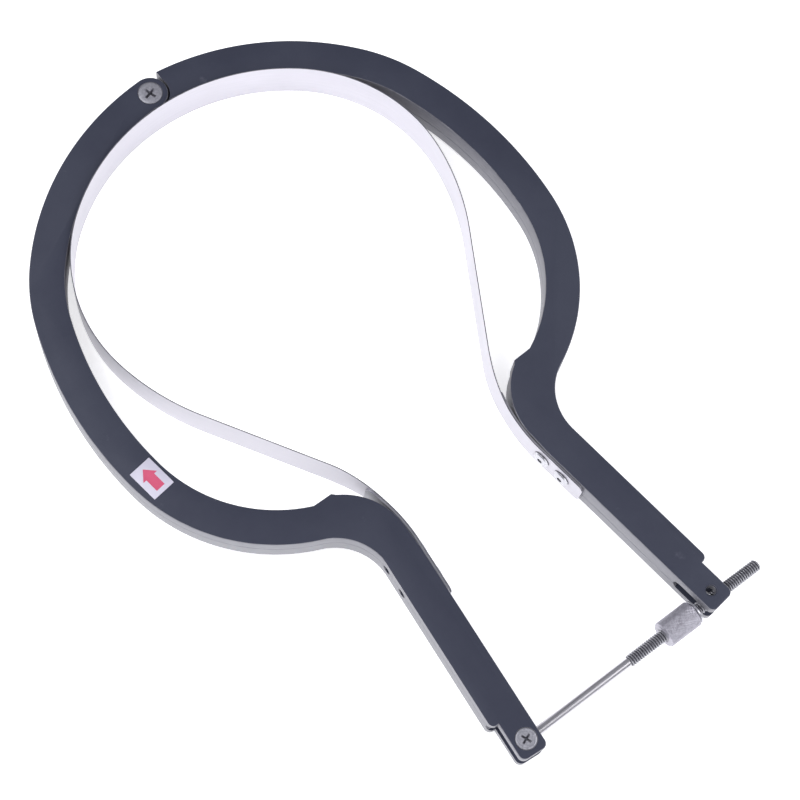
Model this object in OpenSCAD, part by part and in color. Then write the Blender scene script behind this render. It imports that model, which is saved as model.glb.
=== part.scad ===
// Hinged ring clamp with a steel band and a threaded closing rod.
// Two plate arms, one turned over on the other, pivot on one screw. Each arm is half a ring
// with a necked straight handle. The seen face is up, the hinge is toward +Y, handles toward -Y.

/* [Arms] */
// Thickness of each arm plate
arm_t = 17; // [15:0.5:19]
// Distance from the arm's middle line to its outer edge
arm_out = 9; // [8.5:0.1:9.4]
// Distance from the arm's middle line to the ring's inner edge
arm_in = 8.3; // [7.8:0.1:8.6]
// Radius of the round lug at the hinge
lug_r = 9; // [8:0.1:9.2]
// Gap between the two lugs, and between a lug and the shoulder it turns in
lap_gap = 0.4; // [0.3:0.1:0.8]
// Radius of the concave shoulder round a lug
shoulder_r = 10; // [9.8:0.1:11]

/* [Handles] */
// Length of each handle from the end of the neck bend
handle_l = 108.3; // [106:0.1:116]
// Depth of the step in the outer edge near the handle's end
step_depth = 3.7; // [2.5:0.1:4.2]
// Distance of that step from the end of the neck bend
step_at = 88.3; // [86:0.1:90]
// Height of the open slot that takes the rod
slot_h = 7; // [6.9:0.1:7.6]
// Distance of the slot's closed end from the neck bend
slot_at = 85; // [82:0.1:87]
// Distance of the rod's pivot from the neck bend
pivot_at = 100.4; // [99.5:0.1:101]
// Width of the chamfer along the outer edge of one face
chamfer_w = 3.2; // [1:0.1:4]
// Depth of that chamfer
chamfer_d = 0.9; // [0.3:0.1:1.5]

/* [Band] */
// Width of the band round the loop
band_w = 23; // [18:0.5:26]
// Width of the band where it lies on the handles
tongue_w = 16; // [12:0.5:16.5]
// Thickness of the band
band_t = 0.5; // [0.4:0.1:0.6]
// Thickness of the backing strap between the band and the handle
strap_t = 1; // [0.8:0.1:1]
// Length of band lying straight on the handle
tongue_l = 28.5; // [28:0.5:34]
// Gap between the two band halves at the hinge
split_gap = 1; // [0.8:0.1:1.4]

/* [Screws] */
// Diameter of the hinge screw
hinge_d = 6; // [5:0.5:6]
// Diameter of the hinge screw's head
hinge_head_d = 12; // [11:0.5:13]
// Diameter of the rod's pivot screw
pivot_d = 5; // [4:0.5:5]
// Diameter of the pivot screw's head
pivot_head_d = 10; // [9:0.5:10.5]
// Diameter of the band screws
band_screw_d = 5; // [4:0.5:5]
// Diameter of the band screws' heads
band_head_d = 9.2; // [8.6:0.1:9.6]
// Distance between the two band screws
band_screw_step = 13.2; // [12:0.1:14]

/* [Rod and nut] */
// Outer diameter of the rod's thread
rod_d = 6.35; // [6:0.05:6.4]
// Diameter of the rod's plain shank
shank_d = 4.6; // [4:0.1:5]
// Length of the rod from its pivot to its tip
rod_l = 143.4; // [142:0.1:150]
// Distance from the pivot to the start of the thread
thread_at = 63; // [60:0.5:63]
// Angle between the rod and the X axis
rod_droop = 1.4; // [0:0.1:2]
// Diameter of the knurled nut
nut_d = 13.2; // [12:0.1:13.6]
// Length of the knurled nut
nut_l = 19; // [16:0.5:19]
// Distance from the pivot to the nut's near face
nut_at = 84; // [83:0.1:86]

/* [Label] */
// Length of the label along the arm
label_l = 17; // [14:0.5:20]
// Width of the label across the arm
label_w = 12.3; // [9:0.1:13]

/* [Hidden] */
$fn = 64;

// The plate stands clear of the ground by as much as the band is wider than the plate.
plate_z = (band_w - arm_t) / 2;
mid_z = band_w / 2;
top_z = plate_z + arm_t;

// Everything is drawn from the ring's centre, then moved along Y so that the origin is
// in the middle of the finished tool.
frame_y = 65.8;

// Hinge axis, and the direction of the middle line as it leaves the hinge.
hinge_y = 118.2;
start_angle = -2.8;
hinge = [0, hinge_y];

// Middle line of an arm: [radius, sweep]. A negative radius bends the other way.
arm_arcs = [[132, 48], [86, 18.3], [184.5, 28.8], [85.5, 58.2], [-37.3, 72.35]];
// Route of the band from its free end on the handle to just past the hinge. The two very
// long radii are its straight runs.
long_r = 80000;
tongue_run = [long_r, tongue_l / long_r * 180 / PI];
band_arcs = [tongue_run, [87.7, 37.1], [-long_r, 0.046], [-125.7, 21.4], [-82, 61],
    [-109.7, 40]];
// The strap lies behind the first part of the band's first bend and has the same flats.
strap_arcs = [tongue_run, [87.7, 37.1 * 12 / 19]];
// Where the band starts to bend away from the handle.
tongue_at = -3.8;

// Degrees of bend for each flat of a curved edge.
facet = 2;
// Clearance of a turning fit on the radius.
play = 0.05;
// Relief of the neck behind the strap.
relief = 0.6;
// Overshoot of every cut.
cut = 1;
// Gap that keeps the strap, the band and the screw heads from touching.
seat_gap = 0.02;
// Rounding of the handle's corners.
edge_r = 3;
// The handle's chamfer begins this far from the neck bend.
chamfer_from = -4;
// Heights, from the ring's centre, between which the band narrows to its tongue.
taper_from = -98;
taper_to = -122;
// Straight rim of a countersunk head, depth of the spare hole's countersunk bore, and how
// far the long screws stop short of the lower face.
head_rim = 0.4;
sink_l = 5;
short_by = 0.5;
nut_chamfer = 0.8;
tip_chamfer = 0.8;
washer_t = 1;
washer_d = 12;
washer_bore = rod_d + 0.5;
// Flat eye of the rod, thinner than the slot it turns in.
eye_r = 5.6;
eye_t = slot_h - 0.8;
corner_n = 6;
// First band screw, from the neck bend.
screw_at = -0.9;
// Swelling of the neck: its radius, its place along the handle, the directions from its
// centre between which it runs, and the flat ledge where it meets the ring's inner edge.
bump_r = 35;
bump_at = -11;
bump_from = 186;
bump_to = 122;
ledge = [56.5, -104.2];
// Thickness, centre and turn of the label.
label_t = 0.2;
label_at = [-119.1, -47.6];
label_turn = -82.6;

function dir(a) = [cos(a), sin(a)];
function side(a) = [-sin(a), cos(a)];
function arc_centre(p, a, r) = p - r * side(a);
function arc_turn(arc) = arc[1] * sign(arc[0]);
function arc_end(p, a, arc) = arc_centre(p, a, arc[0]) + arc[0] * side(a - arc_turn(arc));
// Points of one arc, moved sideways by d from the middle line.
function arc_points(p, a, arc, d) =
    let (n = max(1, ceil(arc[1] / facet)), c = arc_centre(p, a, arc[0]))
    [for (k = [0 : n]) c + (arc[0] + d) * side(a - arc_turn(arc) * k / n)];
// Points of a whole route of arcs, and the place and direction where it ends.
function route(p, a, arcs, d, i = 0) =
    i == len(arcs) ? [] : concat(
        arc_points(p, a, arcs[i], d),
        route(arc_end(p, a, arcs[i]), a - arc_turn(arcs[i]), arcs, d, i + 1));
function route_end(p, a, arcs, i = 0) =
    i == len(arcs) ? p : route_end(arc_end(p, a, arcs[i]), a - arc_turn(arcs[i]), arcs, i + 1);
function route_angle(a, arcs, i = 0) =
    i == len(arcs) ? a : route_angle(a - arc_turn(arcs[i]), arcs, i + 1);
function reversed(list) = [for (i = [len(list) - 1 : -1 : 0]) list[i]];

handle_start = route_end(hinge, start_angle, arm_arcs);
handle_angle = route_angle(start_angle, arm_arcs);
step_y = arm_out - step_depth;
pivot_y = (step_y - arm_out) / 2;
function on_handle(x, y) = handle_start + x * dir(handle_angle) + y * side(handle_angle);
pivot = on_handle(pivot_at, pivot_y);
bump_c = on_handle(bump_at, bump_r - arm_out + relief);
tongue_end = on_handle(tongue_at + tongue_l, -arm_out - strap_t - band_t / 2 - seat_gap);

// A rounded corner at (x, y) of the handle, from angle a0 to a1 about a centre inside it.
function corner(x, y, a0, a1) =
    [for (k = [0 : corner_n])
        let (a = a0 + (a1 - a0) * k / corner_n)
        on_handle(x + edge_r * cos(a), y + edge_r * sin(a))];

// Outline of an arm: out along the outer edge, round the handle's end, back along the inner.
function arm_outline() = concat(
    route(hinge, start_angle, arm_arcs, arm_out),
    corner(step_at - edge_r, arm_out - edge_r, 90, 0),
    [on_handle(step_at, step_y)],
    corner(handle_l - edge_r, step_y - edge_r, 90, 0),
    corner(handle_l - edge_r, edge_r - arm_out, 0, -90),
    [on_handle(tongue_at, -arm_out), on_handle(tongue_at, relief - arm_out)],
    [for (a = [bump_from : -facet : bump_to]) bump_c + bump_r * dir(a)],
    [ledge],
    reversed([for (p = route(hinge, start_angle, arm_arcs, -arm_in)) if (p.y > ledge.y) p]));

// A flat slab with one outline, from height z up by h.
module slab(points, z, h) {
    translate([0, 0, z])
        linear_extrude(height = h)
            polygon(points);
}

// A strip between two sideways distances of a route.
module strip(p, a, arcs, d0, d1, z, h) {
    slab(concat(route(p, a, arcs, d1), reversed(route(p, a, arcs, d0))), z, h);
}

module rod_z(r, z, h) {
    translate([0, 0, z])
        cylinder(r = r, h = h);
}

module at_handle() {
    translate([handle_start.x, handle_start.y, 0])
        rotate([0, 0, handle_angle])
            children();
}

module at_tool() {
    translate([0, frame_y, 0])
        children();
}

// Turns a right-hand piece over about the Y axis at mid height, which makes it left-hand.
module turned_over() {
    translate([0, 0, 2 * mid_z])
        rotate([0, 180, 0])
            children();
}

// One undrilled arm in its right-hand position, with its lug below.
module arm_blank() {
    lug_top = mid_z - lap_gap / 2;
    difference() {
        union() {
            slab(arm_outline(), plate_z, arm_t);
            translate([0, hinge_y, 0])
                rod_z(lug_r, plate_z, arm_t);
        }
        // The upper half is cut back to a shoulder that the other lug turns in.
        translate([0, hinge_y, 0]) {
            rod_z(shoulder_r, lug_top, arm_t);
            translate([-2 * shoulder_r, 0, lug_top])
                cube([3 * shoulder_r - lap_gap, 2 * shoulder_r, arm_t]);
        }
        at_handle() {
            // The slot is open at the handle's end and on both sides.
            translate([slot_at + slot_h / 2, -arm_out - cut, mid_z - slot_h / 2])
                cube([handle_l - slot_at, 2 * (arm_out + cut), slot_h]);
            translate([slot_at + slot_h / 2, -arm_out - cut, mid_z])
                rotate([-90, 0, 0])
                    cylinder(d = slot_h, h = 2 * (arm_out + cut));
            // Long chamfer on the lower outer edge.
            translate([chamfer_from, arm_out, plate_z])
                rotate([0, 90, 0])
                    linear_extrude(height = step_at - chamfer_from + cut)
                        polygon([[cut, cut], [cut, -chamfer_w], [0, -chamfer_w],
                            [-chamfer_d, 0], [-chamfer_d, cut]]);
            for (i = [0, 1])
                translate([screw_at + i * band_screw_step, -arm_out - cut, mid_z])
                    rotate([-90, 0, 0])
                        cylinder(d = band_screw_d, h = 2 * (arm_out + strap_t + cut));
        }
    }
}

// A countersunk screw pointing down from z, and the hole that takes its head.
module countersunk(d, head_d, z, l, grow = 0) {
    cone_h = (head_d - d) / 2;
    translate([0, 0, z])
        rotate_extrude()
            polygon([[0, -l], [d / 2 + grow, -l], [d / 2 + grow, -cone_h - head_rim],
                [head_d / 2 + grow, -head_rim], [head_d / 2 + grow, grow], [0, grow]]);
}

module left_arm() {
    color("#454a5c") at_tool() difference() {
        turned_over() arm_blank();
        translate([0, hinge_y, 0])
            countersunk(hinge_d, hinge_head_d, top_z, arm_t + cut, play);
        translate([-pivot.x, pivot.y, 0]) {
            countersunk(pivot_d, pivot_head_d, top_z, arm_t / 2, play);
            rod_z(pivot_d / 2, plate_z - cut, arm_t / 2);
        }
    }
}

module right_arm() {
    color("#454a5c") at_tool() difference() {
        arm_blank();
        translate([0, hinge_y, 0])
            rod_z(hinge_d / 2, plate_z - cut, arm_t + 2 * cut);
        // Spare pivot hole: tapped above, countersunk below.
        translate([pivot.x, pivot.y, 0])
            rod_z(pivot_d / 2, plate_z - cut, arm_t + 2 * cut);
        translate([pivot.x, pivot.y, 2 * mid_z])
            mirror([0, 0, 1])
                countersunk(pivot_d, pivot_head_d, top_z, sink_l, play);
    }
}

// A Phillips recess: two crossed tapered blades.
module cross_slot(z, span, depth) {
    blade = span / 5;
    for (a = [0, 90])
        rotate([0, 0, a])
            translate([0, blade / 2, z])
                rotate([90, 0, 0])
                    linear_extrude(height = blade)
                        polygon([[-span / 2, cut], [-span / 2, 0], [-blade / 2, -depth],
                            [blade / 2, -depth], [span / 2, 0], [span / 2, cut]]);
}

module hinge_screw() {
    color("#9a9aa6") at_tool() translate([0, hinge_y, 0]) difference() {
        countersunk(hinge_d, hinge_head_d, top_z, arm_t - short_by);
        rotate([0, 0, 28])
            cross_slot(top_z, 6.6, 2.6);
    }
}

module pivot_screw() {
    color("#9a9aa6") at_tool() translate([-pivot.x, pivot.y, 0]) difference() {
        countersunk(pivot_d, pivot_head_d, top_z, arm_t - short_by);
        rotate([0, 0, 20])
            cross_slot(top_z, 5.2, 2.2);
    }
}

// Side outline of the band: full width round the loop, narrower on the handle.
module band_profile() {
    reach = 400;
    translate([0, 0, mid_z])
        rotate([90, 0, 90])
            linear_extrude(height = reach, center = true)
                polygon([[reach / 2, -band_w / 2], [taper_from, -band_w / 2],
                    [taper_to, -tongue_w / 2], [-reach / 2, -tongue_w / 2],
                    [-reach / 2, tongue_w / 2], [taper_to, tongue_w / 2],
                    [taper_from, band_w / 2], [reach / 2, band_w / 2]]);
}

// Clearance holes through a tongue for the band screws.
module tongue_holes() {
    at_handle()
        for (i = [0, 1])
            translate([screw_at + i * band_screw_step, -arm_out - 4, mid_z])
                rotate([-90, 0, 0])
                    cylinder(d = band_screw_d, h = 8);
}

// Half of the band in its right-hand position.
module band_half() {
    difference() {
        intersection() {
            strip(tongue_end, handle_angle + 180, band_arcs, -band_t / 2, band_t / 2, 0, band_w);
            band_profile();
        }
        translate([split_gap / 2 - 20, 0, -cut])
            cube([20, 2 * hinge_y, band_w + 2 * cut]);
        tongue_holes();
    }
}

// Backing strap between the band's tongue and the handle, right-hand position.
module strap() {
    difference() {
        strip(tongue_end, handle_angle + 180, strap_arcs, -band_t / 2 - strap_t, -band_t / 2,
            mid_z - tongue_w / 2 + 0.5, tongue_w - 1);
        tongue_holes();
    }
}

// Two button-head screws through the tongue into the handle, right-hand position.
module band_screws() {
    head_h = 1.6;
    screw_l = 12;
    hex_w = 3.2;
    hex_depth = 1.1;
    rim_h = 0.5;
    seat = arm_out + strap_t + band_t + 2 * seat_gap;
    at_handle()
        for (i = [0, 1])
            translate([screw_at + i * band_screw_step, -seat, mid_z])
                rotate([-90, 0, 0])
                    difference() {
                        rotate_extrude()
                            polygon([[0, -head_h], [band_head_d * 0.3, -head_h],
                                [band_head_d * 0.44, -head_h * 0.6], [band_head_d / 2, -rim_h],
                                [band_head_d / 2, 0], [band_screw_d / 2, 0],
                                [band_screw_d / 2, screw_l], [0, screw_l]]);
                        translate([0, 0, -head_h - cut])
                            cylinder(d = hex_w, h = hex_depth + cut, $fn = 6);
                    }
}

module band_left() {
    color("#d9dade") at_tool() turned_over() band_half();
}

module band_right() {
    color("#d9dade") at_tool() band_half();
}

module strap_left() {
    color("#8d8f96") at_tool() turned_over() strap();
}

module strap_right() {
    color("#8d8f96") at_tool() strap();
}

module band_screws_left() {
    color("#c9cacf") at_tool() turned_over() band_screws();
}

module band_screws_right() {
    color("#c9cacf") at_tool() band_screws();
}

// Places a piece that is drawn along +X from the rod's pivot.
module on_rod() {
    at_tool()
        translate([-pivot.x, pivot.y, mid_z])
            rotate([0, 0, -rod_droop])
                children();
}

module rod_x(d, x, l) {
    translate([x, 0, 0])
        rotate([0, 90, 0])
            cylinder(d = d, h = l);
}

module tension_rod() {
    color("#b8b8be") on_rod() difference() {
        union() {
            translate([0, 0, -eye_t / 2])
                cylinder(r = eye_r, h = eye_t);
            rod_x(shank_d, 0, thread_at + cut);
            rod_x(rod_d, thread_at, rod_l - thread_at - tip_chamfer);
            translate([rod_l - tip_chamfer, 0, 0])
                rotate([0, 90, 0])
                    cylinder(d1 = rod_d, d2 = rod_d - 2 * tip_chamfer, h = tip_chamfer);
        }
        translate([0, 0, -eye_t])
            cylinder(d = pivot_d + 2 * play, h = 2 * eye_t);
    }
}

module knurled_nut() {
    bore_r = rod_d / 2 + play;
    lead_in = 0.6;
    color("#a3a1ad") on_rod() translate([nut_at, 0, 0]) rotate([0, 90, 0])
        rotate_extrude()
            polygon([[bore_r + lead_in, 0], [nut_d / 2 - nut_chamfer, 0],
                [nut_d / 2, nut_chamfer], [nut_d / 2, nut_l - nut_chamfer],
                [nut_d / 2 - nut_chamfer, nut_l], [bore_r + lead_in, nut_l],
                [bore_r, nut_l - lead_in], [bore_r, lead_in]]);
}

module thrust_washer() {
    color("#77777f") on_rod() translate([nut_at + nut_l + play, 0, 0]) difference() {
        rod_x(washer_d, 0, washer_t);
        rod_x(washer_bore, -cut, washer_t + 2 * cut);
    }
}

module on_label(z) {
    at_tool()
        translate([label_at.x, label_at.y, z])
            rotate([0, 0, label_turn])
                children();
}

module label_sheet() {
    color("#f2f2f4") on_label(top_z)
        translate([-label_l / 2, -label_w / 2, 0])
            cube([label_l, label_w, label_t]);
}

// Block arrow that points back toward the hinge end of the arm.
module label_arrow() {
    tail_w = label_w * 0.4;
    head_w = label_w * 0.7;
    tip_x = -label_l * 0.36;
    neck_x = tip_x + label_l * 0.3;
    tail_x = label_l * 0.36;
    color("#c8323f") on_label(0)
        slab([[tip_x, 0], [neck_x, -head_w / 2], [neck_x, -tail_w / 2], [tail_x, -tail_w / 2],
            [tail_x, tail_w / 2], [neck_x, tail_w / 2], [neck_x, head_w / 2]],
            top_z + label_t, label_t / 2);
}

left_arm();
right_arm();
hinge_screw();
band_left();
band_right();
strap_left();
strap_right();
band_screws_left();
band_screws_right();
tension_rod();
pivot_screw();
knurled_nut();
thrust_washer();
label_sheet();
label_arrow();
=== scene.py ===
"""Looks for the hinged ring band clamp: arms, one curved band, threaded rod, knurled nut."""

from math import atan2, ceil, copysign, cos, degrees, pi, radians, sin, sqrt

import bmesh
import bpy
from mathutils import Euler, Matrix, Vector


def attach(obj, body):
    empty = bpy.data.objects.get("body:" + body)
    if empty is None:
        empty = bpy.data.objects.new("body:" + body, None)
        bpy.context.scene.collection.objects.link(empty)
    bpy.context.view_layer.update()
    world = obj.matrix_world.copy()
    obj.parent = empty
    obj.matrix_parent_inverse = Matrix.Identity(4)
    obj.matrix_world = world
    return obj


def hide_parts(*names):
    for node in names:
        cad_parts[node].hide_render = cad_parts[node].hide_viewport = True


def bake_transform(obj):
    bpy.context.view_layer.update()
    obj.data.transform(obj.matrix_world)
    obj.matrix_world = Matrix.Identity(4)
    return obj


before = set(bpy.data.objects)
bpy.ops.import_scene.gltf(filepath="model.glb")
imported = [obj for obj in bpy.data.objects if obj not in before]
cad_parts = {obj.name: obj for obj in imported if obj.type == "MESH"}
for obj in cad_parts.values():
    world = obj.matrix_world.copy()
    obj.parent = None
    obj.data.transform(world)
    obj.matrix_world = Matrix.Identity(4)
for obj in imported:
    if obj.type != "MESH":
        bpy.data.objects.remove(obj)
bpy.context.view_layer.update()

MM = 0.001

# ---------------------------------------------------------------- shared sizes, in millimetres

PLATE_Z, TOP_Z, MID_Z = 3.0, 20.0, 11.5
PLATE_T = TOP_Z - PLATE_Z
FRAME_Y = 65.8
HINGE = (0.0, 118.2)
START_ANGLE = -2.8
ARM_ARCS = ((132, 48), (86, 18.3), (184.5, 28.8), (85.5, 58.2), (-37.3, 72.35))
ARM_OUT, ARM_IN = 9.0, 8.3
LUG_R, SHOULDER_R, LAP_GAP = 9.0, 10.0, 0.4
HANDLE_L, STEP_AT, STEP_Y, CORNER_R = 108.3, 88.3, 5.3, 3.0
SLOT_AT, SLOT_H = 85.0, 7.0
PIVOT_AT, PIVOT_Y = 100.4, -1.85
CHAMFER_W, CHAMFER_D = 3.2, 0.9
BUMP_R, BUMP_AT, RELIEF = 35.0, -11.0, 0.6
TONGUE_AT = -3.8
LEDGE = (56.5, -104.2)
EDGE_BEVEL = 0.55
SEAM_DEPTH, SEAM_HALF, SEAM_BELOW_MID = 0.22, 0.3, 1.2
# The handle's chamfer runs out toward the neck between these two places along the handle.
CHAMFER_OUT, CHAMFER_FULL = -15, 1

LONG_R = 80000.0
TONGUE_L = 28.5
STRAIGHT = (LONG_R, degrees(TONGUE_L / LONG_R))
BAND_ARCS = (STRAIGHT, (87.7, 37.1), (-LONG_R, 0.046), (-125.7, 21.4), (-82, 61), (-109.7, 40))
STRAP_ARCS = (STRAIGHT, (87.7, 37.1 * 12 / 19))
BAND_W, TONGUE_W, BAND_T, STRAP_T = 23.0, 16.0, 0.5, 1.0
TAPER_TOP, TAPER_LOW = -98.0, -122.0
# Part of the tongue's length that has close stations, for its rounded corners.
END_PART = 0.14
# The free ends' corners, and the gap below which two stations count as one.
BAND_CORNER, STRAP_CORNER, STATION_GAP = 3.0, 2.5, 0.02

HOLE_D, HOLE_AT, HOLE_STEP = 5.0, -0.9, 13.2
HINGE_D, HINGE_HEAD = 6.0, 12.0
PIVOT_D, PIVOT_HEAD = 5.0, 10.0
BUTTON_D, BUTTON_H, BUTTON_RIM = 9.2, 1.6, 0.4
HEX_R, HEX_DEPTH = 1.6, 1.1
# A cut this deep passes right through the plate.
THROUGH = 30.0

ROD_DROOP, ROD_D, SHANK_D, ROD_L, THREAD_AT, PITCH = 1.4, 6.35, 4.6, 143.4, 63.0, 1.27
NUT_AT, NUT_L, NUT_D = 84.0, 19.0, 13.2
WASHER_D, WASHER_T = 12.0, 1.0
LABEL_AT, LABEL_TURN, LABEL_L, LABEL_W = (-119.1, -47.6), -82.6, 17.0, 12.3


# ---------------------------------------------------------------- plan curves


def ray(angle):
    return Vector((cos(radians(angle)), sin(radians(angle))))


def side(angle):
    return Vector((-sin(radians(angle)), cos(radians(angle))))


def follow(start, angle, arcs, step):
    """Stations along a chain of arcs: (point, heading)."""
    stations, p = [], Vector(start)
    for radius, sweep in arcs:
        centre = p - radius * side(angle)
        turn = copysign(sweep, radius)
        count = max(1, ceil(sweep / step))
        for k in range(count + 1):
            a = angle - turn * k / count
            stations.append((centre + radius * side(a), a))
        p, angle = stations[-1]
    return stations


ARM_STATIONS = follow(HINGE, START_ANGLE, ARM_ARCS, 1.0)
HANDLE_START, HANDLE_ANGLE = ARM_STATIONS[-1]


def on_handle(x, y):
    return HANDLE_START + x * ray(HANDLE_ANGLE) + y * side(HANDLE_ANGLE)


PIVOT = on_handle(PIVOT_AT, PIVOT_Y)
BUMP_C = on_handle(BUMP_AT, BUMP_R - ARM_OUT + RELIEF)
HANDLE_TURN = Matrix.Rotation(radians(HANDLE_ANGLE), 4, "Z")
HANDLE_FRAME = Matrix.Translation((*HANDLE_START, 0)) @ HANDLE_TURN
TOOL = Matrix.Translation((0, FRAME_Y, 0))
TURNED_OVER = Matrix.Translation((0, 0, 2 * MID_Z)) @ Matrix.Rotation(pi, 4, "Y")
LEFT_PIVOT = (-PIVOT.x, PIVOT.y)
ROD_TURN = Matrix.Rotation(-radians(ROD_DROOP), 4, "Z")
ROD_FRAME = TOOL @ Matrix.Translation((*LEFT_PIVOT, MID_Z)) @ ROD_TURN
ALONG_X = Matrix.Rotation(pi / 2, 4, "Y")
SIDES = (("left", TOOL @ TURNED_OVER, "left_side"), ("right", TOOL, "right_side"))


def arm_outline():
    """The arm seen from above in its right-hand position, as one loop."""

    def corner(x, y, a0, a1):
        steps = 8
        turns = [radians(a0 + (a1 - a0) * k / steps) for k in range(steps + 1)]
        return [on_handle(x + CORNER_R * cos(a), y + CORNER_R * sin(a)) for a in turns]

    hinge = Vector(HINGE)
    outer = [p + ARM_OUT * side(a) for p, a in ARM_STATIONS]
    inner = [p - ARM_IN * side(a) for p, a in ARM_STATIONS]
    inner = [p for p in inner if p.y > LEDGE[1] and (p - hinge).length > LUG_R]
    first = degrees(atan2(inner[0].y - HINGE[1], inner[0].x))
    last = START_ANGLE + 90 - 360
    steps = 40
    lug = [hinge + LUG_R * ray(first + (last - first) * k / steps) for k in range(1, steps)]
    bump = [BUMP_C + BUMP_R * ray(a) for a in range(186, 121, -2)]
    loop = outer
    loop += corner(STEP_AT - CORNER_R, ARM_OUT - CORNER_R, 90, 0)
    loop += [on_handle(STEP_AT, STEP_Y)]
    loop += corner(HANDLE_L - CORNER_R, STEP_Y - CORNER_R, 90, 0)
    loop += corner(HANDLE_L - CORNER_R, CORNER_R - ARM_OUT, 0, -90)
    loop += [on_handle(TONGUE_AT + 3, -ARM_OUT)]
    loop += bump + [Vector(LEDGE)] + inner[::-1] + lug
    clean = []
    for p in loop:
        if not clean or (p - clean[-1]).length > 0.05:
            clean.append(p)
    return clean[::-1]


# ---------------------------------------------------------------- mesh helpers


def make(name, bm, place=None):
    """Turns a bmesh drawn in millimetres into an object in metres."""
    bmesh.ops.recalc_face_normals(bm, faces=bm.faces)
    mesh = bpy.data.meshes.new(name)
    bm.to_mesh(mesh)
    bm.free()
    mesh.transform(Matrix.Scale(MM, 4) @ (place or TOOL))
    obj = bpy.data.objects.new(name, mesh)
    bpy.context.scene.collection.objects.link(obj)
    return obj


def prism(loops):
    """Closed solid through a stack of equal loops of 3-D points, capped at both ends."""
    bm = bmesh.new()
    rings = [[bm.verts.new(p) for p in loop] for loop in loops]
    for low, high in zip(rings, rings[1:]):
        for k in range(len(low)):
            m = (k + 1) % len(low)
            bm.faces.new((low[k], low[m], high[m], high[k]))
    bm.faces.new(rings[0][::-1])
    bm.faces.new(rings[-1])
    return bm


def slab(points, z0, z1):
    return prism([[(x, y, z0) for x, y in points], [(x, y, z1) for x, y in points]])


def turned(profile, sides=64):
    """Solid of revolution about Z. The profile starts and ends on the axis, or closes on itself."""
    closed = profile[0][0] > 0
    bm = bmesh.new()
    rings = []
    for r, z in profile:
        if r <= 0:
            rings.append([bm.verts.new((0, 0, z))])
        else:
            ring = [2 * pi * k / sides for k in range(sides)]
            rings.append([bm.verts.new((r * cos(a), r * sin(a), z)) for a in ring])
    pairs = list(zip(rings, rings[1:]))
    if closed:
        pairs.append((rings[-1], rings[0]))
    for low, high in pairs:
        for k in range(sides):
            m = (k + 1) % sides
            quad = [low[k % len(low)], low[m % len(low)], high[m % len(high)], high[k % len(high)]]
            unique = [v for n, v in enumerate(quad) if v not in quad[:n]]
            bm.faces.new(unique)
    return bm


def box(x0, x1, y0, y1, z0, z1):
    return slab([(x0, y0), (x1, y0), (x1, y1), (x0, y1)], z0, z1)


def drum(radius, z0, z1, sides=64):
    return turned([(0, z0), (radius, z0), (radius, z1), (0, z1)], sides)


def cut(obj, cutters):
    """Takes each (bmesh, place) away from obj."""
    for n, (bm, place) in enumerate(cutters):
        tool = make(f"cutter_{n}", bm, place)
        step = obj.modifiers.new("cut", "BOOLEAN")
        step.operation = "DIFFERENCE"
        step.solver = "EXACT"
        step.object = tool
        graph = bpy.context.evaluated_depsgraph_get()
        done = bpy.data.meshes.new_from_object(obj.evaluated_get(graph))
        obj.modifiers.clear()
        old = obj.data
        obj.data = done
        bpy.data.meshes.remove(old)
        bpy.data.objects.remove(tool)
    return obj


def smooth(obj, angle, flat_caps=False):
    """Smooth shading that stays crisp past the angle; level faces can be kept flat."""
    for poly in obj.data.polygons:
        poly.use_smooth = not (flat_caps and abs(poly.normal.z) > 0.999)
    obj.data.set_sharp_from_angle(angle=radians(angle))
    return obj


def inset(points, distance):
    """Moves every corner of a counter-clockwise loop inward by a small distance."""
    count, moved = len(points), []
    for k in range(count):
        a = (points[k] - points[k - 1]).normalized()
        b = (points[(k + 1) % count] - points[k]).normalized()
        na, nb = Vector((-a.y, a.x)), Vector((-b.y, b.x))
        n = (na + nb).normalized()
        moved.append(points[k] + n * (distance / max(0.5, n.dot(na))))
    return moved


# ---------------------------------------------------------------- materials


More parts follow.
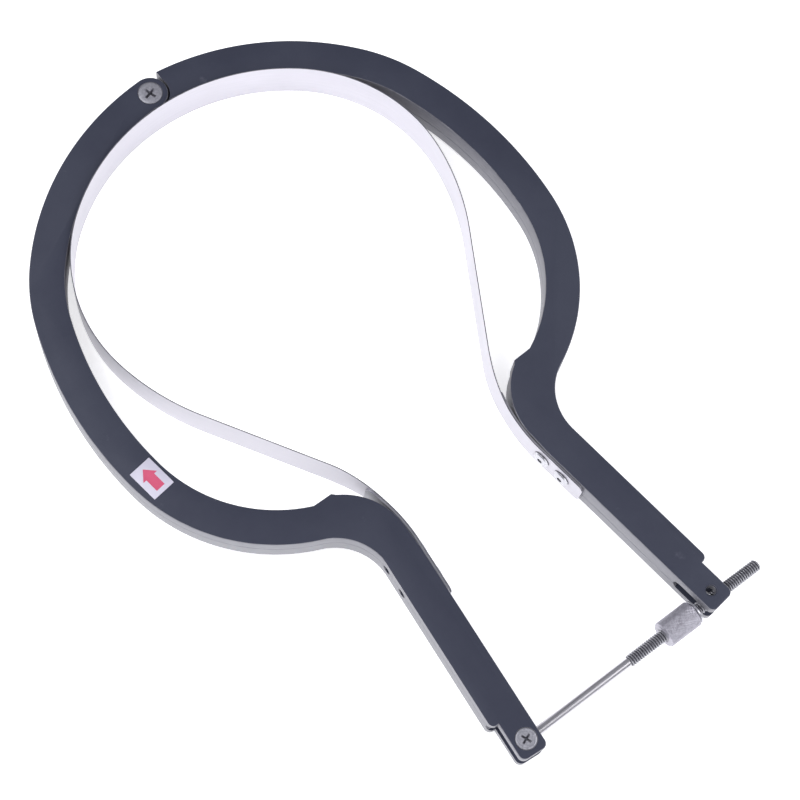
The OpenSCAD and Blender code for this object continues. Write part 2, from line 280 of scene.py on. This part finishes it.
class Shader:
    """A small builder for procedural materials in object space."""

    def __init__(self, name):
        self.material = bpy.data.materials.new(name)
        self.material.use_nodes = True
        self.tree = self.material.node_tree
        self.surface = self.tree.nodes["Principled BSDF"]
        self.coords = self.tree.nodes.new("ShaderNodeTexCoord").outputs["Object"]

    def link(self, a, b):
        self.tree.links.new(a, b)

    def put(self, **values):
        for key, value in values.items():
            self.surface.inputs[key.replace("_", " ")].default_value = value
        return self

    def noise(self, scale, stretch=(1, 1, 1), detail=4.0, rough=0.6):
        mapping = self.tree.nodes.new("ShaderNodeMapping")
        mapping.inputs["Scale"].default_value = stretch
        self.link(self.coords, mapping.inputs["Vector"])
        node = self.tree.nodes.new("ShaderNodeTexNoise")
        node.inputs["Scale"].default_value = scale
        node.inputs["Detail"].default_value = detail
        node.inputs["Roughness"].default_value = rough
        self.link(mapping.outputs["Vector"], node.inputs["Vector"])
        return node.outputs["Fac"]

    def spread(self, value, low, high, to_low, to_high):
        node = self.tree.nodes.new("ShaderNodeMapRange")
        keys = ("From Min", "From Max", "To Min", "To Max")
        for key, number in zip(keys, (low, high, to_low, to_high)):
            node.inputs[key].default_value = number
        self.link(value, node.inputs["Value"])
        return node.outputs["Result"]

    def mix(self, factor, a, b):
        node = self.tree.nodes.new("ShaderNodeMix")
        node.data_type = "RGBA"
        for socket, value in ((node.inputs[6], a), (node.inputs[7], b)):
            if isinstance(value, tuple):
                socket.default_value = (*value, 1)
            else:
                self.link(value, socket)
        self.link(factor, node.inputs[0])
        return node.outputs[2]

    def colour(self, output):
        self.link(output, self.surface.inputs["Base Color"])

    def roughness(self, output):
        self.link(output, self.surface.inputs["Roughness"])

    def bump(self, height, distance, strength):
        node = self.tree.nodes.new("ShaderNodeBump")
        node.inputs["Distance"].default_value = distance
        node.inputs["Strength"].default_value = strength
        self.link(height, node.inputs["Height"])
        self.link(node.outputs["Normal"], self.surface.inputs["Normal"])


def coated(name):
    """Dark blue-grey oxide coat with faint handling marks and a few pale rubs."""
    s = Shader(name).put(Metallic=0.15, Specular_IOR_Level=0.4)
    broad, rubs = s.noise(14, detail=5), s.noise(60, detail=8, rough=0.7)
    grain = s.noise(2200, detail=2)
    base = s.mix(s.spread(broad, 0.35, 0.7, 0, 1), (0.032, 0.036, 0.061), (0.044, 0.049, 0.076))
    s.colour(s.mix(s.spread(rubs, 0.64, 0.78, 0, 0.30), base, (0.20, 0.20, 0.25)))
    s.roughness(s.spread(rubs, 0.3, 0.8, 0.52, 0.70))
    s.bump(grain, 0.00003, 0.5)
    return s.material


def steel(name, dark, light, metallic, rough, stretch=(1, 1, 1), scale=400, bump=0.00002):
    """Bare or plated steel with grain drawn out along one direction."""
    s = Shader(name).put(Metallic=metallic)
    grain, cloud = s.noise(scale, stretch, detail=3), s.noise(25, detail=4)
    tone = s.mix(s.spread(grain, 0.3, 0.7, 0, 1), dark, light)
    s.colour(s.mix(s.spread(cloud, 0.45, 0.8, 0, 0.25), tone, tuple(c * 0.8 for c in dark)))
    s.roughness(s.spread(grain, 0.25, 0.75, rough * 0.8, rough * 1.2))
    s.bump(grain, bump, 0.6)
    return s.material


def printed(name, dark, light, rough):
    """Printed film with slight unevenness."""
    s = Shader(name).put(Metallic=0.0)
    cloud, grain = s.noise(90, detail=5), s.noise(1500, detail=2)
    s.colour(s.mix(s.spread(cloud, 0.3, 0.75, 0, 1), light, dark))
    s.roughness(s.spread(grain, 0.3, 0.7, rough * 0.85, rough * 1.15))
    s.bump(grain, 0.00001, 0.4)
    return s.material


COAT = coated("coat")
WALL = steel("ground_wall", (0.17, 0.17, 0.195), (0.27, 0.27, 0.30), 0.35, 0.42, (1, 1, 14), 160)
BAND = steel("spring_band", (0.52, 0.51, 0.56), (0.60, 0.585, 0.64), 0.7, 0.36, (1, 1, 60), 60, 8e-6)
# Painted shade: a dark steel colour on the band's edges stands for the shade line between the band
# and the arm wall.
BAND_EDGE_PAINTED_SHADE = steel("band_edge_painted_shade", (0.16, 0.16, 0.18), (0.24, 0.24, 0.27), 0.7, 0.4, scale=300)
STRAP = steel("strap_steel", (0.36, 0.36, 0.40), (0.50, 0.50, 0.54), 0.8, 0.36, (1, 1, 30), 80)
ZINC = steel("zinc", (0.32, 0.32, 0.36), (0.46, 0.46, 0.51), 0.7, 0.42, scale=900)
BRIGHT_ZINC = steel("bright_zinc", (0.50, 0.50, 0.54), (0.64, 0.64, 0.68), 0.85, 0.28, scale=900)
# Painted shade, lighter: a dim colour for the pivot screw's cross recess.
LIGHT_PAINTED_SHADE = steel("shallow_recess_painted_shade", (0.13, 0.13, 0.15), (0.22, 0.22, 0.26), 0.6, 0.45, scale=900)
# Painted shade: a near-black colour for the hinge screw's cross recess and the band screws' hex
# sockets; it also paints a contact shadow on the band screws' lower rim.
PAINTED_SHADE = steel("recess", (0.05, 0.05, 0.06), (0.09, 0.09, 0.11), 0.5, 0.55, scale=900)
ROD = steel("turned_rod", (0.53, 0.52, 0.55), (0.64, 0.63, 0.66), 0.95, 0.3, (1, 30, 30), 20, 1e-6)
# Painted shade: the thread flanks get a darker copy of the rod's steel colour, and the thread roots a
# near-black one.
PAINTED_SHADE_THREAD = steel("thread_flank_painted_shade", (0.32, 0.32, 0.35), (0.46, 0.46, 0.50), 0.9, 0.3, (30, 1, 1), 90, 6e-6)
PAINTED_SHADE_ROOT = steel("thread_root_painted_shade", (0.07, 0.07, 0.08), (0.13, 0.13, 0.15), 0.6, 0.5, (30, 1, 1), 90)
NUT = steel("nut_steel", (0.33, 0.32, 0.37), (0.50, 0.49, 0.55), 0.8, 0.36, scale=700)
PAPER = printed("label_film", (0.58, 0.56, 0.68), (0.66, 0.64, 0.755), 0.45)
INK = printed("label_ink", (0.55, 0.070, 0.15), (0.64, 0.095, 0.19), 0.4)


def dress(obj, body, slot, *materials):
    for m in materials:
        obj.data.materials.append(m)
    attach(obj, body)


# ---------------------------------------------------------------- arms


def arm_blank(name):
    """A bevelled plate with its side seam, then the shoulder, slot, chamfer and holes cut in."""
    outline = arm_outline()
    levels = []
    for k in range(4):
        a = radians(90 * k / 3)
        levels.append((PLATE_Z + EDGE_BEVEL * (1 - sin(a)), EDGE_BEVEL * (1 - cos(a))))
    low = sorted(levels)
    high = [(2 * MID_Z - z, d) for z, d in low[::-1]]
    seam = MID_Z - SEAM_BELOW_MID
    middle = [(seam - SEAM_HALF, 0), (seam, SEAM_DEPTH), (seam + SEAM_HALF, 0)]
    loops = []
    for z, d in low + middle + high:
        loops.append([(p.x, p.y, z) for p in inset(outline, d)])
    obj = make(name, prism(loops))
    hinge_place = TOOL @ Matrix.Translation((0, HINGE[1], 0))
    at_handle = TOOL @ HANDLE_FRAME
    lug_top = MID_Z - LAP_GAP / 2
    far, above = ARM_OUT + 2, TOP_Z + 1
    across = Matrix.Rotation(-pi / 2, 4, "X")
    slope, edge = CHAMFER_D / CHAMFER_W, ARM_OUT + 8
    full, below = ARM_OUT - CHAMFER_W, PLATE_Z - 1
    wedge = []
    for x, start in ((CHAMFER_OUT, ARM_OUT + 5), (CHAMFER_FULL, full), (STEP_AT + 1, full)):
        drop = PLATE_Z + (edge - start) * slope
        wedge.append([(x, start, PLATE_Z), (x, edge, drop), (x, edge, below), (x, start, below)])
    chamfer = prism(wedge)
    slot_x, slot_r = SLOT_AT + SLOT_H / 2, SLOT_H / 2
    slot_end = at_handle @ Matrix.Translation((slot_x, 0, MID_Z)) @ across
    cutters = [
        (drum(SHOULDER_R, lug_top, above), hinge_place),
        (box(-2 * SHOULDER_R, SHOULDER_R - LAP_GAP, 0, 2 * SHOULDER_R, lug_top, above), hinge_place),
        (box(slot_x, HANDLE_L + 2, -far, far, MID_Z - slot_r, MID_Z + slot_r), at_handle),
        (drum(slot_r, -far, far), slot_end),
        (chamfer, at_handle),
    ]
    for k in (0, 1):
        spot = at_handle @ Matrix.Translation((HOLE_AT + k * HOLE_STEP, 0, MID_Z)) @ across
        cutters.append((drum(HOLE_D / 2, -far, far + 4, 32), spot))
    return cut(obj, cutters)


def countersink(d, head_d, depth):
    head_h = (head_d - d) / 2
    rim = head_d / 2 + 0.35
    profile = [(0, -depth), (d / 2, -depth), (d / 2, -head_h - 0.4)]
    return turned(profile + [(rim, -0.25), (rim, 1), (0, 1)])


def arm_finish(obj, body):
    obj.data.materials.append(COAT)
    obj.data.materials.append(WALL)
    for poly in obj.data.polygons:
        poly.material_index = 0 if abs(poly.normal.z) > 0.9 else 1
    smooth(obj, 30, True)
    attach(obj, body)


left = arm_blank("arm_left_body")
left.data.transform(Matrix.Scale(MM, 4) @ TURNED_OVER @ Matrix.Scale(1 / MM, 4))
right = arm_blank("arm_right_body")
hinge_top = TOOL @ Matrix.Translation((0, HINGE[1], TOP_Z))
pivot_top = TOOL @ Matrix.Translation((*LEFT_PIVOT, TOP_Z))
cut(
    left,
    [
        (countersink(HINGE_D, HINGE_HEAD, THROUGH), hinge_top),
        (countersink(PIVOT_D, PIVOT_HEAD, THROUGH), pivot_top),
    ],
)
spare_hole = TOOL @ Matrix.Translation((PIVOT.x, PIVOT.y, 0))
under = Matrix.Translation((PIVOT.x, PIVOT.y, PLATE_Z)) @ Matrix.Rotation(pi, 4, "X")
cut(
    right,
    [
        (drum(HINGE_D / 2, 0, TOP_Z + 1), TOOL @ Matrix.Translation((0, HINGE[1], 0))),
        (countersink(PIVOT_D, PIVOT_HEAD, THROUGH), TOOL @ under),
        (drum(PIVOT_D / 2 + 0.5, TOP_Z - 0.35, TOP_Z + 1), spare_hole),
    ],
)
arm_finish(left, "left_side")
arm_finish(right, "right_side")
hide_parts("left_arm")
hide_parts("right_arm")

# ---------------------------------------------------------------- band and straps


def corner_loss(along, corner):
    """How much a rounded corner takes off a strip's half width near its free end."""
    if along >= corner:
        return 0
    return corner - sqrt(max(0, corner**2 - (corner - along) ** 2))


def band_half_width(y, along):
    """Half the band's height at a station, with rounded corners at the free end."""
    t = min(1, max(0, (y - TAPER_LOW) / (TAPER_TOP - TAPER_LOW)))
    return (TONGUE_W + (BAND_W - TONGUE_W) * t) / 2 - corner_loss(along, BAND_CORNER)


def spaced(stations):
    """Drops every station that nearly touches the one kept before it."""
    kept = [stations[0]]
    for s in stations[1:]:
        if (s[0] - kept[-1][0]).length > STATION_GAP:
            kept.append(s)
    return kept


def ribbon(stations, thickness, offset, half_width, edge=0.12):
    """A closed strip that stands on edge along a path."""
    loops, along, before = [], 0.0, None
    for p, a in stations:
        along += (p - before).length if before else 0.0
        before = p
        n, half, t = side(a), half_width(p, along), thickness / 2
        shape = [(-t, edge - half), (edge - t, -half), (t - edge, -half), (t, edge - half)]
        shape += [(-x, -z) for x, z in shape]
        loops.append([(*(p + n * (offset + x)), MID_Z + z) for x, z in shape])
    return prism(loops)


tongue_end = on_handle(TONGUE_AT + TONGUE_L, -ARM_OUT - STRAP_T - BAND_T / 2 - 0.02)
right_run = [s for s in follow(tongue_end, HANDLE_ANGLE + 180, BAND_ARCS, 0.8) if s[0].x > 0.3]
fine_end = []
for k in range(8):
    gap = TONGUE_L * END_PART * (k / 8) ** 2
    fine_end.append((tongue_end + gap * ray(HANDLE_ANGLE + 180), HANDLE_ANGLE + 180))
straight_count = 12
first, second = right_run[0], right_run[1]
filled = []
for k in range(straight_count):
    t = END_PART + (1 - END_PART) * k / straight_count
    filled.append((first[0].lerp(second[0], t), first[1]))
clean_run = spaced(fine_end + filled + right_run[1:])
half_length = sum((b[0] - a[0]).length for a, b in zip(clean_run, clean_run[1:]))
left_run = [(Vector((-p.x, p.y)), 360 - a) for p, a in clean_run[::-1]]
whole_length = 2 * half_length


def band_width(p, along):
    return band_half_width(p.y, min(along, whole_length + 2 * clean_run[-1][0].x - along))


band = make("band", ribbon(clean_run + left_run, BAND_T, 0, band_width))
smooth(band, 40)
band.data.materials.append(BAND)
band.data.materials.append(BAND_EDGE_PAINTED_SHADE)
# Painted shade: faces that point up or down, the band's edges, take the dark edge colour.
for poly in band.data.polygons:
    poly.material_index = 1 if abs(poly.normal.z) > 0.3 else 0
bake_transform(band)
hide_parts("band_left", "band_right")


def strap_width(p, along):
    total = TONGUE_L + radians(STRAP_ARCS[1][1]) * STRAP_ARCS[1][0]
    return TONGUE_W / 2 - 0.5 - corner_loss(min(along, total - along), STRAP_CORNER)


strap_run = follow(tongue_end, HANDLE_ANGLE + 180, STRAP_ARCS, 1.0)
for name, place, body in SIDES:
    (free_end, heading), (bend, _) = strap_run[:2]
    run = spaced([(free_end.lerp(bend, k / 16), heading) for k in range(16)] + strap_run[1:])
    plate = ribbon(run, STRAP_T, -(BAND_T + STRAP_T) / 2, strap_width, 0.2)
    piece = make(f"strap_{name}_plate", plate, place)
    dress(smooth(piece, 40), body, "strap_steel", STRAP)
    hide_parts(f"strap_{name}")

# ---------------------------------------------------------------- screws


def cross_cutters(span, depth, place):
    """Two tapered blades that make a cross recess."""
    cutters = []
    for turn in (0, 90):
        blade = span / 10
        outline = [(-span / 2, 1), (-span / 2, 0), (-blade * 2, -depth)]
        outline += [(-x, z) for x, z in outline[::-1]]
        bm = slab(outline, -blade, blade)
        stand = Matrix.Rotation(radians(turn), 4, "Z") @ Matrix.Rotation(pi / 2, 4, "X")
        cutters.append((bm, place @ stand))
    return cutters


def flat_screw(name, body, at, d, head_d, span, turn, nodes, groove):
    """A countersunk screw with a cross recess; the recess gets a darker colour as painted shade."""
    head_h = (head_d - d) / 2
    tip, head_r = 0.4 - PLATE_T, head_d / 2
    profile = [(0, tip), (d / 2 - 0.4, tip), (d / 2, 0.9 - PLATE_T), (d / 2, -head_h - 0.4)]
    profile += [(head_r, -0.55), (head_r + 0.02, -0.3), (head_r - 0.12, -0.08), (head_r - 0.4, 0)]
    if groove:
        profile += [(head_r - 1.0, 0), (head_r - 1.15, -0.12), (head_r - 1.3, 0)]
    profile += [(span * 0.42, 0), (0, 0)]
    place = TOOL @ Matrix.Translation((*at, TOP_Z))
    obj = make(name, turned(profile, 72), place)
    cut(obj, cross_cutters(span, span * 0.4, place @ Matrix.Rotation(radians(turn), 4, "Z")))
    dress(obj, body, "screw_zinc", ZINC, LIGHT_PAINTED_SHADE if groove else PAINTED_SHADE)
    origin = Vector((at[0], at[1] + FRAME_Y, TOP_Z)) * MM
    # Painted shade: faces inside the cross recess take the darker second colour.
    for poly in obj.data.polygons:
        offset = poly.center - origin
        recess = offset.z < -0.3 * MM and offset.xy.length < 1.5 * MM
        poly.material_index = 1 if recess else 0
    smooth(obj, 25)
    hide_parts(nodes)


flat_screw(
    "hinge_screw_body", "right_side", HINGE, HINGE_D, HINGE_HEAD, 7.0, 17, "hinge_screw", False
)
flat_screw(
    "pivot_screw_body", "left_side", LEFT_PIVOT, PIVOT_D, PIVOT_HEAD, 5.4, 20, "pivot_screw", True
)

button = [(0, BUTTON_H), (2.2, 1.58), (3.2, 1.42), (3.9, 1.12), (4.35, 0.75)]
button += [(BUTTON_D / 2, BUTTON_RIM), (BUTTON_D / 2, 0)]
button += [(HOLE_D / 2, 0), (HOLE_D / 2, -11), (HOLE_D / 2 - 0.6, -12), (0, -12)]
seat_y = -ARM_OUT - STRAP_T - BAND_T - 0.04
for name, base, body in SIDES:
    for k in (0, 1):
        seat = Matrix.Translation((HOLE_AT + k * HOLE_STEP, seat_y, MID_Z))
        place = base @ HANDLE_FRAME @ seat @ Matrix.Rotation(pi / 2, 4, "X")
        obj = make(f"band_screw_{name}_{k + 1}", turned(button, 48), place)
        top = place @ Vector((0, 0, BUTTON_H)) * MM
        cut(obj, [(drum(HEX_R, -HEX_DEPTH, 1, 6), place @ Matrix.Translation((0, 0, BUTTON_H)))])
        dress(smooth(obj, 35), body, "screw_zinc", BRIGHT_ZINC, PAINTED_SHADE)
        axis = (place.to_3x3() @ Vector((0, 0, 1))).normalized()
        for poly in obj.data.polygons:
            offset = poly.center - top
            depth = -offset.dot(axis)
            away = (offset + axis * depth).length
            # Painted shade: faces in the hex socket take the dark colour.
            recess = 0.2 * MM < depth < (HEX_DEPTH + 0.2) * MM and away < (HEX_R + 0.1) * MM
            # Painted contact shadow: the head's lowest side band, where it sits on the band, also
            # takes the dark colour.
            rim = depth > (BUTTON_H - BUTTON_RIM - 0.02) * MM
            poly.material_index = 1 if recess or rim else 0
        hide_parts(f"band_screws_{name}")

# ---------------------------------------------------------------- rod, nut and washer


def swept(radii, xs, sides):
    """A solid along X whose radius is a function of place and angle."""
    loops = []
    for x in xs:
        ring = []
        for k in range(sides):
            a = 2 * pi * k / sides
            r = radii(x, a)
            ring.append((x, r * cos(a), r * sin(a)))
        loops.append(ring)
    return prism(loops)


def rod_radius(x, a):
    """Plain shank, then a 60 degree thread that runs out at both ends."""
    full = ROD_D / 2
    if x < THREAD_AT:
        return SHANK_D / 2
    phase = (x / PITCH - a / (2 * pi)) % 1
    height = abs(2 * phase - 1)
    tooth = min(1, max(0, 1.25 * height - 0.12))
    r = full - 0.62 * PITCH * (1 - tooth) * 0.95
    r = min(r, SHANK_D / 2 + (x - THREAD_AT) * 1.2)
    return min(r, full - 1.1 * max(0, x - ROD_L + 1.0))


thread_steps = int((ROD_L - THREAD_AT) / PITCH * 10)
stations = [2.0, 30.0, THREAD_AT - 0.01]
stations += [THREAD_AT + (ROD_L - THREAD_AT) * k / thread_steps for k in range(thread_steps + 1)]
rod = make("rod_body", swept(rod_radius, stations, 36), ROD_FRAME)
cut(rod, [(drum(5.2, -4, 4), ROD_FRAME)])
dress(smooth(rod, 50), "rod", "rod_steel", ROD, PAINTED_SHADE_THREAD, PAINTED_SHADE_ROOT)
to_rod = ROD_FRAME.inverted()
# Painted shade: along the thread the flanks take the darker copy of the rod's colour and the roots
# the near-black one.
for poly in rod.data.polygons:
    c = to_rod @ (poly.center / MM)
    if c.x > THREAD_AT:
        poly.material_index = 2 if Vector((c.y, c.z)).length < ROD_D / 2 - 0.42 else 1
eye_r, eye_h, bore = 5.6, 3.1, PIVOT_D / 2 + 0.05
ring = [(bore, -eye_h), (eye_r - 0.4, -eye_h), (eye_r, 0.4 - eye_h)]
ring += [(r, -z) for r, z in ring[::-1]]
eye = make("rod_eye", turned(ring), ROD_FRAME)
dress(smooth(eye, 35), "rod", "rod_steel", ROD)
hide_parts("tension_rod")


def nut_shell():
    """Nut with a fine diamond knurl between two plain chamfers, bored through."""
    sides, rows, starts, depth, chamfer = 216, 90, 36, 0.2, 0.9
    bore_r = ROD_D / 2 + 0.05
    bm = bmesh.new()
    angles = [2 * pi * k / sides for k in range(sides)]

    def ring(x, radius):
        return [bm.verts.new((x, radius(a) * cos(a), radius(a) * sin(a))) for a in angles]

    def knurl(x):
        lead = 2 * pi * NUT_D / 2

        def radius(a):
            u = (a / (2 * pi) + x / lead) * starts % 1
            v = (a / (2 * pi) - x / lead) * starts % 1
            groove = max(0, 1 - min(u, 1 - u) * 5) + max(0, 1 - min(v, 1 - v) * 5)
            return NUT_D / 2 - depth * min(1, groove)

        return radius

    def plain(r):
        return lambda a: r

    face_r = NUT_D / 2 - chamfer
    rings = [ring(0.6, plain(bore_r)), ring(0, plain(bore_r + 0.6))]
    rings += [ring(0, plain(face_r)), ring(0.75, plain(NUT_D / 2 - 0.3))]
    for k in range(rows + 1):
        x = 0.85 + (NUT_L - 1.7) * k / rows
        rings.append(ring(x, knurl(x)))
    rings += [ring(NUT_L - 0.75, plain(NUT_D / 2 - 0.3)), ring(NUT_L, plain(face_r))]
    rings += [ring(NUT_L, plain(bore_r + 0.6)), ring(NUT_L - 0.6, plain(bore_r))]
    for low, high in zip(rings, rings[1:] + rings[:1]):
        for k in range(sides):
            m = (k + 1) % sides
            bm.faces.new((low[k], low[m], high[m], high[k]))
    return bm


nut = make("nut_body", nut_shell(), ROD_FRAME @ Matrix.Translation((NUT_AT, 0, 0)))
dress(smooth(nut, 40), "nut", "nut_steel", NUT)
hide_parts("knurled_nut")

w_r, w_b, w_c = WASHER_D / 2, ROD_D / 2 + 0.25, 0.15
washer_profile = [(w_b, 0), (w_r - w_c, 0), (w_r, w_c)]
washer_profile += [(r, WASHER_T - z) for r, z in washer_profile[::-1]]
washer_place = ROD_FRAME @ Matrix.Translation((NUT_AT + NUT_L + 0.05, 0, 0)) @ ALONG_X
washer = make("washer_ring", turned(washer_profile), washer_place)
dress(smooth(washer, 35), "washer", "washer_steel", BRIGHT_ZINC)
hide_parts("thrust_washer")

# ---------------------------------------------------------------- label

label_place = (
    TOOL @ Matrix.Translation((*LABEL_AT, TOP_Z)) @ Matrix.Rotation(radians(LABEL_TURN), 4, "Z")
)


def rounded(half_l, half_w, r):
    """A rectangle with rounded corners, counter-clockwise."""
    points = []
    for sx, sy, a0 in ((1, 1, 0), (-1, 1, 90), (-1, -1, 180), (1, -1, 270)):
        c = Vector((sx * (half_l - r), sy * (half_w - r)))
        points += [c + r * ray(a0 + 18 * k) for k in range(6)]
    return points


sheet_loop = rounded(LABEL_L / 2, LABEL_W / 2, 0.4)
sheet_levels = ((0.01, 0), (0.14, 0), (0.2, 0.06))
sheet_stack = [[(p.x, p.y, z) for p in inset(sheet_loop, d)] for z, d in sheet_levels]
sheet = make("label_film_sheet", prism(sheet_stack), label_place)
dress(smooth(sheet, 60, True), "left_side", "label_white", PAPER)
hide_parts("label_sheet")
tail, head = LABEL_W * 0.2, LABEL_W * 0.35
tip_x, tail_x = -LABEL_L * 0.36, LABEL_L * 0.36
neck_x = tip_x + 5.1
arrow_loop = [(tip_x, 0), (neck_x, -head), (neck_x, -tail), (tail_x, -tail)]
arrow_loop += [(x, -y) for x, y in arrow_loop[:0:-1]]
arrow = make("label_arrow_print", slab(arrow_loop, 0.19, 0.3), label_place)
dress(arrow, "left_side", "label_red", INK)
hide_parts("label_arrow")

# ---------------------------------------------------------------- room, light and camera


def area(name, place, size, power):
    """A white square light that faces the middle of the tool."""
    light = bpy.data.lights.new(name, "AREA")
    light.shape = "SQUARE"
    light.size = size
    light.energy = power
    obj = bpy.data.objects.new(name, light)
    obj.location = place
    obj.rotation_euler = (-Vector(place)).to_track_quat("-Z", "Y").to_euler()
    bpy.context.scene.collection.objects.link(obj)


floor_bm = bmesh.new()
reach = 4000
corners = ((-reach, -reach, 0), (reach, -reach, 0), (reach, reach, 0), (-reach, reach, 0))
floor_bm.faces.new([floor_bm.verts.new(p) for p in corners])
floor = make("floor", floor_bm, Matrix.Translation((0, 0, -0.2)))
paper = Shader("floor_paper").put(Roughness=0.9, Emission_Strength=0.65)
paper.surface.inputs["Emission Color"].default_value = (1, 1, 1, 1)
paper.colour(paper.mix(paper.noise(3, detail=2), (0.93, 0.93, 0.94), (0.95, 0.95, 0.96)))
floor.data.materials.append(paper.material)

world = bpy.data.worlds.new("studio")
world.use_nodes = True
world.node_tree.nodes["Background"].inputs["Color"].default_value = (0.90, 0.91, 1.0, 1)
world.node_tree.nodes["Background"].inputs["Strength"].default_value = 0.32
bpy.context.scene.world = world
area("key", (-0.9, 0.7, 1.5), 1.2, 22)
area("fill", (1.1, -0.9, 1.3), 1.4, 16)
area("front", (-0.7, -1.2, 0.5), 0.9, 8)

# The lens, place and turn were fitted to the tool's outline in the photo.
camera_data = bpy.data.cameras.new("camera")
camera_data.sensor_width = 36
camera_data.lens = 85.2
camera_data.clip_start, camera_data.clip_end = 0.05, 20
camera = bpy.data.objects.new("camera", camera_data)
camera.location = (-0.2464, -0.2230, 0.8738)
camera.rotation_euler = Euler((radians(19.93), radians(-4.447), radians(-38.465)), "XYZ")
bpy.context.scene.collection.objects.link(camera)
bpy.context.scene.camera = camera
bpy.context.scene.view_settings.view_transform = "Standard"
